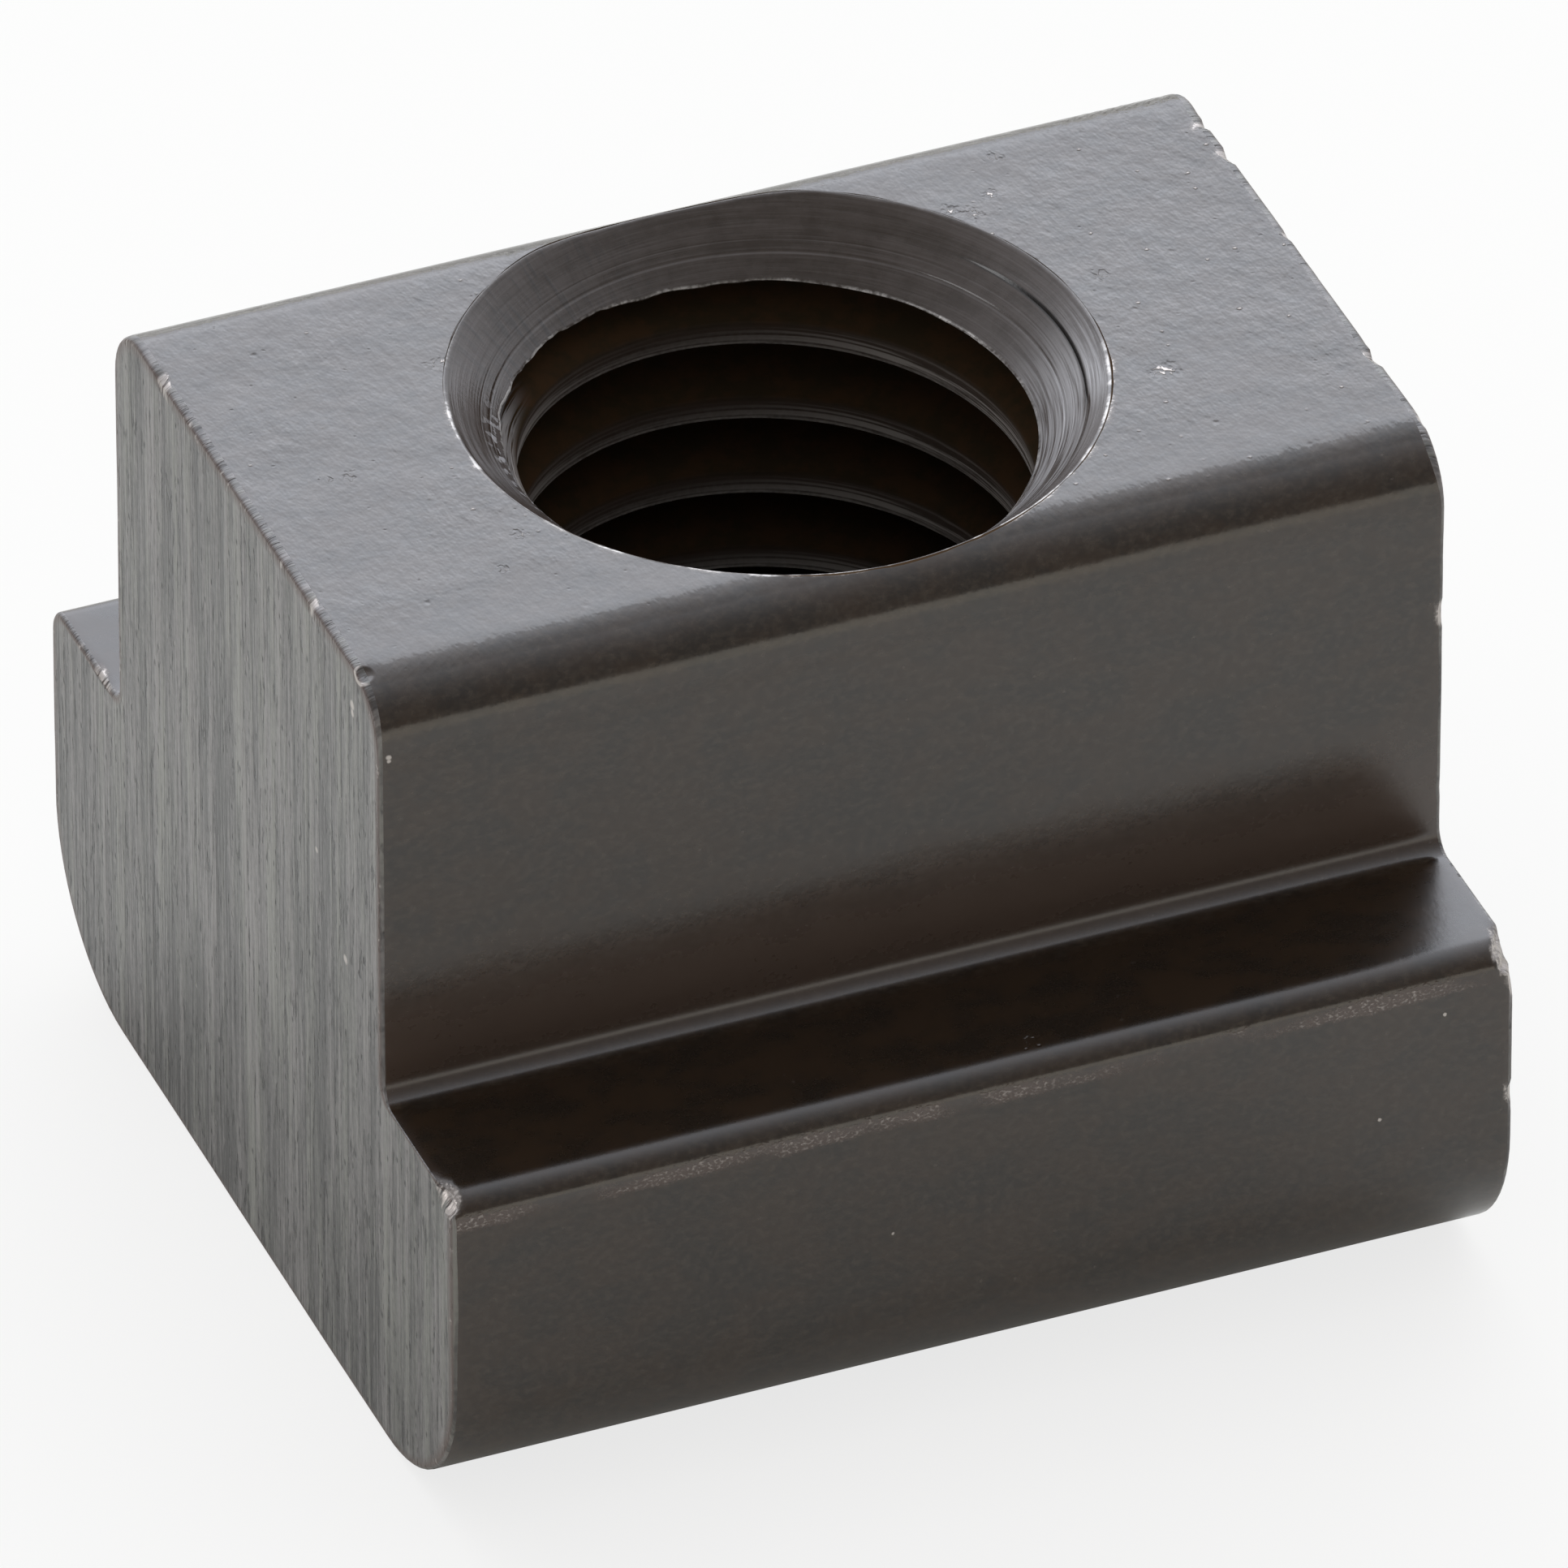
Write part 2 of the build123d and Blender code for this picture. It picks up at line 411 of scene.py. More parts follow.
def build_nut():
    """All skins of the nut as grids of points that share their edges, with wear marks beside them, among them a painted
    highlight round the mouth's rim.
    """
    skin_end = HALF_LENGTH - BURR_REACH
    stations = skin_end * (2 * eased(LENGTH_STEPS, 0.45) - 1)
    side = side_section()
    across_crown = CROWN_REACH * (2 * eased(ACROSS_STEPS, 0.0) - 1)
    across_base = (HALF_FLANGE - BASE_RADIUS) * (2 * eased(ACROSS_STEPS, 0.0) - 1)
    azimuth = np.linspace(0, 2 * pi, COLUMNS + 1)
    grids, bare, edge = {}, {}, {}

    # sides: the section carried along the bar
    for name, mirror in (("back_skin", 1), ("front_skin", -1)):
        grids[name] = np.stack([
            stations[:, None] + 0 * side[:, 0], mirror * side[:, 0] + 0 * stations[:, None],
            side[:, 1] + 0 * stations[:, None],
        ], -1)

    # top: from the mouth's edge out to the edges of the top skin, measured over the crown
    rim, rim_width = mouth_rim(azimuth), rim_break(azimuth) + 0.01 * rim_wear_and_highlight(azimuth)
    outer = rim + rim_width
    past = np.clip(np.abs(outer * np.sin(azimuth)) - CROWN_FLAT, 0, None)
    rim_across = np.sign(np.sin(azimuth)) * (
        np.minimum(np.abs(outer * np.sin(azimuth)), CROWN_FLAT) + CROWN_RADIUS * np.arcsin(past / CROWN_RADIUS))
    edge_along, edge_across = outline_columns(skin_end, stations, CROWN_REACH, across_crown)
    shares = np.concatenate([[0, 0.01, 0.025, 0.05], np.linspace(0.08, 1, 22)])
    along = spread(outer * np.cos(azimuth), edge_along, shares)
    y, z = crown_point(spread(rim_across, edge_across, shares))
    grids["top_skin"] = np.stack([along, y, z], -1)
    bare["top_skin"] = np.zeros(along.shape)
    # the first rows round the mouth take the rim's wear and its painted highlight
    for row, shown in enumerate((0.9, 0.35)):
        bare["top_skin"][row] = shown * rim_wear_and_highlight(azimuth)

    # base: flat, from the outlet's rim out to the rounded lower edges
    edge_along, edge_across = outline_columns(skin_end, stations, HALF_FLANGE - BASE_RADIUS, across_base)
    shares = np.concatenate([[0, 0.02], np.linspace(0.1, 1, 8)])
    along = spread(OUTLET_RIM * np.cos(azimuth), edge_along, shares)
    across = spread(OUTLET_RIM * np.sin(azimuth), edge_across, shares)
    grids["base_skin"] = np.stack([along, across, 0 * along], -1)

    grids["hole_wall"], bare["hole_wall"] = hole_wall(azimuth, rim, rim_width)

    # sawn ends: the broken edge rolls over a quarter of an ellipse, then the flat closes to its middle
    crown_y, crown_z = crown_point(across_crown[::-1])
    loop = np.concatenate([
        side[:-1], np.stack([crown_y, crown_z], -1)[:-1],
        (side * [-1, 1])[::-1][:-1], np.stack([across_base, 0 * across_base], -1),
    ])
    forward = np.roll(loop[:-1], -1, 0) - np.roll(loop[:-1], 1, 0)
    outward = np.stack([forward[:, 1], -forward[:, 0]], -1)
    outward /= np.linalg.norm(outward, axis=1)[:, None]
    outward = np.append(outward, outward[:1], 0)
    heart = np.array([0, SHOULDER - 2.0])
    for name, facing in (("left_end", -1), ("right_end", 1)):
        spots = np.column_stack([np.full(len(loop), facing * HALF_LENGTH), loop])
        width = break_width(spots, facing)
        width[-1] = width[0]
        rows, marks = [np.column_stack([np.full(len(loop), facing * skin_end), loop])], [0.0]
        roll = np.minimum((1.0 + 0.9 * smooth_step(loop[:, 1], 13.6, 14.6)) * width, BURR_REACH - 0.01)
        for angle in np.radians([0, 20, 40, 60, 76, 90]):
            reach = HALF_LENGTH - roll * (1 - sin(angle))
            inset = loop - outward * (width * (1 - cos(angle)))[:, None]
            rows.append(np.column_stack([facing * reach, inset]))
            marks.append(0.15 + 0.85 * float(smooth_step(degrees(angle), 30, 76)))
        flat = loop - outward * width[:, None]
        for share in (0.02, 0.05, 0.1, 0.18, 0.3, 0.45, 0.62, 0.8, 1.0):
            rows.append(np.column_stack([
                np.full(len(loop), facing * HALF_LENGTH), (1 - share) * flat + share * heart]))
            marks.append(0.0)
        grids[name] = np.stack(rows)
        edge[name] = np.array(marks)[:, None] * np.ones(len(loop))

    for name, grid in grids.items():
        grids[name], knocks = knocked(grid)
        bare[name] = np.maximum(bare.get(name, 0), knocks)
        edge.setdefault(name, 0 * knocks)
    return grids, bare, edge


def closed_mesh(name, grids, marks, material_of):
    """One mesh from grids of points: quads between neighbours, shared edges welded, faces outward.

    Marks are numbers for each point, kept as attributes that the finishes read."""
    points, quads, slots = [], [], []
    first = 0
    for grid_name, grid in grids.items():
        rows, columns = grid.shape[:2]
        index = first + np.arange(rows * columns).reshape(rows, columns)
        quads.append(np.stack([index[:-1, :-1], index[:-1, 1:], index[1:, 1:], index[1:, :-1]], -1).reshape(-1, 4))
        slots.append(np.repeat(np.broadcast_to(material_of[grid_name], rows - 1), columns - 1))
        points.append(grid.reshape(-1, 3))
        first += rows * columns
    mesh = bpy.data.meshes.new(name)
    mesh.from_pydata(np.concatenate(points) * MM, [], np.concatenate(quads))
    mesh.polygons.foreach_set("material_index", np.concatenate(slots))
    for mark, values in marks.items():
        layer = mesh.attributes.new(mark, "FLOAT", "POINT")
        layer.data.foreach_set("value", np.concatenate([values[grid_name].ravel() for grid_name in grids]).astype(np.float32))
    solid = bmesh.new()
    solid.from_mesh(mesh)
    bmesh.ops.remove_doubles(solid, verts=solid.verts, dist=0.0008 * MM)
    bmesh.ops.dissolve_degenerate(solid, edges=solid.edges, dist=0.0002 * MM)
    bmesh.ops.recalc_face_normals(solid, faces=solid.faces)
    solid.to_mesh(mesh)
    solid.free()
    mesh.shade_smooth()
    return mesh


SKIN, SAWN, CUT = 0, 1, 2
grids, bare_and_highlight_marks, edge_marks = build_nut()
end_slots = [SKIN] + [SAWN] * (len(grids["left_end"]) - 2)       # the skin runs up to the broken edge
material_of = {"back_skin": SKIN, "front_skin": SKIN, "top_skin": SKIN, "base_skin": SKIN,
               "hole_wall": CUT, "left_end": end_slots, "right_end": end_slots}
# the bare mark holds the chips' bare metal and, round the mouth, a painted highlight
nut_mesh = closed_mesh("nut", grids, {"bare": bare_and_highlight_marks, "edge": edge_marks}, material_of)
nut = bpy.data.objects.new("nut", nut_mesh)
bpy.context.scene.collection.objects.link(nut)


# ---------------------------------------------------------------- finishes
class Value:
    """A number on a shader socket. Arithmetic on it adds Math nodes."""

    def __init__(self, finish, socket):
        self.finish, self.socket = finish, socket

    def __add__(self, other):
        return self.finish.maths("ADD", self, other)

    def __sub__(self, other):
        return self.finish.maths("SUBTRACT", self, other)

    def __rsub__(self, other):
        return self.finish.maths("SUBTRACT", other, self)

    def __mul__(self, other):
        return self.finish.maths("MULTIPLY", self, other)

    def __truediv__(self, other):
        return self.finish.maths("DIVIDE", self, other)

    __radd__, __rmul__ = __add__, __mul__


class Finish:
    """A material's nodes, ending in one Principled shader. Lengths in it are millimetres."""

    def __init__(self, name, **constants):
        self.material = bpy.data.materials.new(name)
        self.material.use_nodes = True
        self.tree = self.material.node_tree
        self.shader = self.tree.nodes["Principled BSDF"]
        for socket, value in constants.items():
            self.shader.inputs[socket.replace("_", " ")].default_value = value

    def node(self, kind, out, settings=None, **sockets):
        """Adds a node: its settings first, then the values or links of its sockets.

        A socket is named, or numbered with an underscore. The output wanted may be a list."""
        node = self.tree.nodes.new("ShaderNode" + kind)
        for key, value in (settings or {}).items():
            setattr(node, key, value)
        for key, value in sockets.items():
            socket = node.inputs[int(key[1:])] if key[0] == "_" else node.inputs[key.replace("_", " ")]
            if isinstance(value, Value):
                self.tree.links.new(value.socket, socket)
            else:
                socket.default_value = value
        if isinstance(out, list):
            return [Value(self, node.outputs[one]) for one in out]
        return Value(self, node.outputs[out])

    def maths(self, operation, *values, clamp=False):
        return self.node("Math", 0, {"operation": operation, "use_clamp": clamp},
                         **{f"_{i}": v for i, v in enumerate(values)})

    def place(self):
        """The object's own coordinates in millimetres."""
        coords = self.node("TexCoord", "Object")
        return self.node("VectorMath", 0, {"operation": "SCALE"}, _0=coords, Scale=1 / MM)

    def times(self, vector, x, y, z):
        return self.node("VectorMath", 0, {"operation": "MULTIPLY"}, _0=vector, _1=(x, y, z))

    def xyz(self, vector):
        return self.node("SeparateXYZ", [0, 1, 2], _0=vector)

    def joined(self, x, y, z):
        return self.node("CombineXYZ", 0, _0=x, _1=y, _2=z)

    def noise(self, vector, detail=2.0, roughness=0.5):
        """Noise from 0 to 1 whose grain is one unit of the vector."""
        return self.node("TexNoise", 0, {"noise_dimensions": "3D"},
                         Vector=vector, Scale=1.0, Detail=detail, Roughness=roughness)

    def ramp(self, value, low, high):
        """Smooth climb from 0 at the low value to 1 at the high one."""
        return self.node("MapRange", 0, {"interpolation_type": "SMOOTHSTEP"},
                         Value=value, From_Min=low, From_Max=high)

    def bell(self, value, centre, half_width):
        """1 at the centre, falling smoothly to 0 at the half width on both sides."""
        away = self.maths("ABSOLUTE", value - centre)
        return 1 - self.ramp(away, 0.0, half_width)

    def specks(self, vector, per_mm, radius, share):
        """Dots scattered in the vector's first two directions: 1 in the middle of a share of the
        Voronoi cells, 0 past the radius."""
        away, colour = self.node("TexVoronoi", [0, 1], {"voronoi_dimensions": "2D", "feature": "F1"},
                                 Vector=vector, Scale=per_mm)
        pick = self.node("SeparateColor", 0, _0=colour)
        return (1 - self.ramp(away, 0.0, radius * per_mm)) * self.ramp(pick, 1 - share, 1.02 - share)

    def spots(self, place, spots, wander):
        """Ragged spots at set places: the largest of 1 minus the smooth climb of the distance over
        the reach, the distance being bent by a noise."""
        total = 0.0
        for x, y, z, reach in spots:
            away = self.node("VectorMath", 1, {"operation": "DISTANCE"}, _0=place, _1=(x, y, z))
            total = self.maths("MAXIMUM", 1 - self.ramp(away + wander, 0.25 * reach, reach), total)
        return total

    def punched(self, place):
        """Hollow of the punch mark, 1 in its middle, and the bright crescent pushed up beside it."""
        away = self.node("VectorMath", 1, {"operation": "DISTANCE"}, _0=place, _1=PUNCH_MARK)
        outward = self.ramp(PUNCH_MARK[0] - self.xyz(place)[0], -0.06, 0.1)
        return 1 - self.ramp(away, 0.2 * PUNCH_RADIUS, PUNCH_RADIUS), self.bell(away, PUNCH_RADIUS, 0.06) * outward

    def mark(self, name):
        return self.node("Attribute", "Fac", {"attribute_name": name})

    def mix(self, share, first, second):
        """Colour between two colours."""
        return self.node("Mix", 2, {"data_type": "RGBA"}, _0=share, _6=first, _7=second)

    def bumped(self, height):
        """Normal of a relief whose height is in millimetres."""
        return self.node("Bump", 0, Strength=1.0, Distance=MM, Height=height)

    def feed(self, **links):
        for socket, value in links.items():
            self.tree.links.new(value.socket, self.shader.inputs[socket.replace("_", " ")])
        return self.material


OXIDE_IOR = 1.7
OXIDE = (0.022, 0.0105, 0.0030, 1)            # the brown that lies under the black
OXIDE_THICK = (0.011, 0.0060, 0.0022, 1)
OXIDE_PALE = (0.055, 0.040, 0.027, 1)
OXIDE_THIN = (0.062, 0.034, 0.024, 1)         # rubbed edges, where it turns reddish
OXIDE_BROWN = (0.064, 0.042, 0.031, 1)        # foot of the neck, where it stayed browner
SAWN_DARK = (0.010, 0.009, 0.008, 1)
SAWN_PALE = (0.185, 0.172, 0.164, 1)
SAWN_TINT = (0.172, 0.17, 0.148, 1)
GROOVE = (0.048, 0.027, 0.014, 1)             # matt browns of the thread's grooves
GROOVE_COOL = (0.033, 0.023, 0.013, 1)
GROOVE_PAINTED_LIGHT = (0.12, 0.078, 0.046, 1)           # painted light: paler just under a crest, standing in for light that reaches the groove there
# near-black of the chatter marks, also used as a painted shadow along the countersink's step
CHATTER_AND_SHADOW_BLACK = (0.003, 0.002, 0.001, 1)
CUT_PALE = (0.052, 0.037, 0.029, 1)
SCUFF_AND_SHEEN_GREY = (0.36, 0.35, 0.35, 1)               # countersink's pale grey: swarf scratches, and a painted reflection on its near right and left
CREST_DARK = (0.040, 0.024, 0.014, 1)
# CREST_PALE is the scored crests' pale colour; towards the hole's sides it also serves as a painted reflection
CREST_PALE = (0.50, 0.46, 0.42, 1)
CUT_BARE = (0.66, 0.63, 0.60, 1)              # bare, scratched edges of the hole, also the colour of the painted highlight round the mouth's rim
STEEL = (0.46, 0.42, 0.39, 1)                 # bare metal in fresh chips, also the colour of the painted highlight round the mouth on the top skin


# Torn spots in the top skin with crumbs of metal in them, and specks on the front: place and reach.
TORN_SPOTS = [
    (5.92, -2.12, HEIGHT, 0.32), (5.2, 3.57, HEIGHT, 0.18), (5.65, 4.55, HEIGHT, 0.16),
    (4.73, 3.19, HEIGHT, 0.2), (4.45, 3.4, HEIGHT, 0.18), (-4.9, 2.5, HEIGHT, 0.24),
    (6.03, 0.79, HEIGHT, 0.14), (-7.79, 0.15, HEIGHT, 0.1), (-7.43, 0.08, HEIGHT, 0.12),
    (-5.47, -2.44, HEIGHT, 0.15), (-6.07, -3.24, HEIGHT, 0.12), (1.02, -8.4, SHOULDER, 0.14),
]
SPECKS = [
    (-1.63, -9.0, 4.09, 0.045), (8.07, -9.0, 5.81, 0.05), (6.94, -9.0, 3.99, 0.045),
    (-9.12, -5.9, 13.57, 0.075), (-9.12, -5.9, 13.5, 0.06), (-8.26, -5.9, 14.01, 0.04),
]


END_NICKS = [
    (-HALF_LENGTH, -4.76, 13.9, 0.13), (-HALF_LENGTH, -4.76, 13.75, 0.1),
    (-HALF_LENGTH, -4.35, 8.55, 0.12), (-HALF_LENGTH, -3.1, 9.9, 0.08),
]
END_PITS = [
    (-HALF_LENGTH, -5.2, 9.1, 0.1), (-HALF_LENGTH, -5.5, 8.6, 0.12), (-HALF_LENGTH, -5.0, 8.7, 0.09),
]
PUNCH_MARK = (-HALF_LENGTH + 0.12, -5.02, HEIGHT - 0.03)       # round dimple in the crown's corner
PUNCH_RADIUS = 0.19


def drawn_black():
    """Blacked skin of the drawn bar: soft dents and a leathery grain, with pits and bright crumbs on
    top, and smoother sides with faint clouds in the brown."""
    finish = Finish("drawn_black", IOR=OXIDE_IOR)
    place = finish.place()
    x, y, z = finish.xyz(place)
    around = y + finish.maths("SIGN", y) * (HEIGHT - z)
    wander = finish.noise(finish.times(place, 9, 9, 9), 1)
    skin = finish.joined(x + 0.08 * wander, around, 0.0)
    swell = finish.noise(finish.times(place, 0.5, 0.7, 0.7), 1)
    dents = finish.noise(finish.times(place, 2.3, 1.4, 1.6), 3, 0.65)
    leather = finish.noise(finish.times(place, 6.5, 3.8, 5), 2, 0.7)
    cloud = finish.noise(finish.times(place, 0.9, 1.3, 1.3), 3, 0.65)
    fleck = finish.noise(finish.times(place, 6, 8, 8), 2, 0.7)
    crumbly = finish.noise(finish.times(place, 8, 6, 7), 1, 0.7)
    gather = finish.ramp(finish.noise(finish.times(place, 0.35, 0.35, 0.35), 2) + 0.012 * x, 0.4, 0.62)
    pits = finish.specks(skin, 0.8, 0.09, 0.16)
    fine_pits = finish.specks(skin, 1.9, 0.045, 0.13)
    crumbs = finish.specks(skin, 1.4, 0.055, 0.32)
    torn = finish.spots(place, TORN_SPOTS, 0.5 * (crumbly - 0.5))
    speckled = finish.spots(place, SPECKS, 0.08 * (crumbly - 0.5))
    on_top = finish.ramp(z, HEIGHT - 0.14, HEIGHT - 0.005) * (1 - 0.5 * finish.ramp(0.0 - y, 3.0, 4.9))

    # the flange's upper edge is rubbed bright in patches, low on its rounding
    side = finish.maths("ABSOLUTE", y)
    ragged = finish.noise(finish.times(place, 2.2, 3, 3), 3, 0.65)
    rubbed_level = z + 0.2 * (ragged - 0.5)
    band = finish.ramp(rubbed_level, SHOULDER - 0.66, SHOULDER - 0.54) * (
        1 - finish.ramp(rubbed_level, SHOULDER - 0.4, SHOULDER - 0.28)) * finish.ramp(side, 8.6, 8.8)
    patchy = finish.ramp(finish.noise(finish.times(place, 0.6, 1, 1), 2), 0.4, 0.56)
    sparkle = finish.ramp(finish.noise(finish.times(place, 14, 20, 20), 2), 0.45, 0.7)
    rubbed = band * patchy * (0.06 + 0.25 * sparkle)

    edge = finish.mark("edge")
    # the bare mark holds the chips' bare metal and, round the mouth, a painted highlight
    bare = finish.mark("bare") * (0.3 + 0.5 * sparkle)
    shreds = finish.ramp(torn, 0.25, 0.6) * finish.ramp(crumbly, 0.5, 0.62)
    scatter = finish.maths("MAXIMUM", (0.12 + 0.4 * on_top) * crumbs * gather, finish.maths("MAXIMUM", 0.7 * shreds, 0.6 * speckled))
    hollow, ring_up = finish.punched(place)
    steel = finish.maths("MAXIMUM", finish.maths("MAXIMUM", rubbed, bare), scatter)
    steel = finish.maths("MAXIMUM", steel, 0.7 * ring_up)
    on_ledge = finish.bell(z, SHOULDER, 0.12) * finish.ramp(side, HALF_NECK + 0.3, HALF_NECK + 0.6)
    crown_foot = finish.bell(z, HEIGHT - CROWN_RADIUS, 0.45) * finish.ramp(side, 5.5, 5.8)
    oxide = finish.mix(finish.ramp(cloud, 0.34, 0.64), OXIDE_THICK, OXIDE)
    oxide = finish.mix(0.6 * finish.ramp(fleck, 0.36, 0.8) * (1 - on_ledge), oxide, OXIDE_PALE)
    tinged = finish.bell(z, SHOULDER + 0.9, 2.3) * (1 - finish.ramp(side, HALF_NECK + 0.05, HALF_NECK + 0.3))
    oxide = finish.mix(0.8 * tinged, oxide, OXIDE_BROWN)
    oxide = finish.mix(finish.maths("MAXIMUM", edge, band * (0.15 + 0.55 * patchy)), oxide, OXIDE_THIN)
    coarse = 0.8 + 0.35 * gather
    relief = ((0.008 + 0.03 * on_top) * swell + (0.002 + 0.046 * on_top * coarse) * dents
              + (0.0022 + 0.0115 * on_top * coarse) * leather
              + on_top * (0.02 * crumbs * gather - 0.007 * fine_pits - 0.012 * pits)
              + 0.008 * band * patchy * sparkle - 0.012 * torn + 0.014 * shreds
              + 0.01 * crown_foot * ragged - 0.05 * hollow)
    return finish.feed(
        Base_Color=finish.mix(finish.ramp(steel, 0.0, 0.6), oxide, STEEL), Metallic=steel,
        Roughness=0.1 + 0.07 * cloud + 0.05 * fleck + 0.13 * tinged + 0.1 * rubbed + 0.14 * crown_foot + 0.12 * on_ledge,
        Normal=finish.bumped(relief))


def sawn_black():
    """Blacked saw cut: upright score lines of all widths, dark ones and pale ones, broken into
    dashes, with stray nicks."""
    finish = Finish("sawn_black", IOR=OXIDE_IOR)
    place = finish.place()
    broad = finish.noise(finish.times(place, 1, 1.3, 0.07), 2, 0.6)
    scores = finish.noise(finish.times(place, 1, 4.5, 0.16), 3, 0.75)
    fine = finish.noise(finish.times(place, 1, 14, 0.5), 2, 0.6)
    dashes = finish.noise(finish.times(place, 1, 9, 1.4), 3, 0.65)
    gritty = finish.noise(finish.times(place, 1, 12, 7), 2, 0.6)
    x, y, z = finish.xyz(place)
    nicks = finish.specks(finish.joined(y * 1.2, z * 0.7, 0.0), 1.0, 0.06, 0.12)
    edge = finish.mark("edge")
    bare = finish.mark("bare") * finish.ramp(dashes, 0.35, 0.6)
    sparkle = finish.ramp(finish.noise(finish.times(place, 9, 9, 6), 2), 0.6, 0.75)
    pale_dash = finish.ramp(dashes, 0.6, 0.72)
    dark_dash = finish.ramp(1 - dashes, 0.58, 0.7)
    steel = finish.maths("MAXIMUM", finish.maths("MAXIMUM", bare, 0.25 * nicks), 0.4 * edge * sparkle)
    hollow, ring_up = finish.punched(place)
    ragged = 0.06 * (gritty - 0.5)
    dug = finish.spots(place, END_PITS, ragged)
    steel = finish.maths("MAXIMUM", steel + 0.05 * pale_dash, 0.6 * finish.spots(place, END_NICKS, ragged))
    steel = finish.maths("MAXIMUM", steel, 0.7 * ring_up)
    tone = (0.3 * finish.ramp(broad, 0.32, 0.68) + 0.5 * finish.ramp(scores, 0.34, 0.66)
            + 0.36 * finish.ramp(fine, 0.32, 0.68))
    pepper = finish.specks(finish.joined(y, z * 0.55, 0.0), 2.6, 0.05, 0.3)
    tone = tone + 0.3 * pale_dash - 0.6 * dark_dash + 0.7 * (gritty - 0.5) - 0.7 * pepper - 0.8 * dug
    # painted shade: the sawn ends are darker towards the bottom, where the floor they reflect lies in the nut's shadow
    tone = tone - 0.1 * (1 - finish.ramp(z, 1.0, 6.5))
    tint = finish.ramp(finish.noise(finish.times(place, 1, 3, 0.25), 1), 0.4, 0.65)
    oxide = finish.mix(finish.ramp(tone, 0.05, 1.1), SAWN_DARK, finish.mix(tint, SAWN_PALE, SAWN_TINT))
    oxide = finish.mix(edge, oxide, OXIDE_THIN)
    relief = (0.05 * broad + 0.034 * scores + 0.009 * fine + 0.011 * dashes + 0.004 * gritty
              - 0.014 * dark_dash - 0.02 * nicks - 0.012 * pepper - 0.02 * dug - 0.05 * hollow)
    return finish.feed(
        Base_Color=finish.mix(finish.ramp(steel, 0.0, 0.6), oxide, STEEL), Metallic=steel,
        Roughness=0.2 + 0.14 * scores + 0.1 * dashes, Normal=finish.bumped(relief))


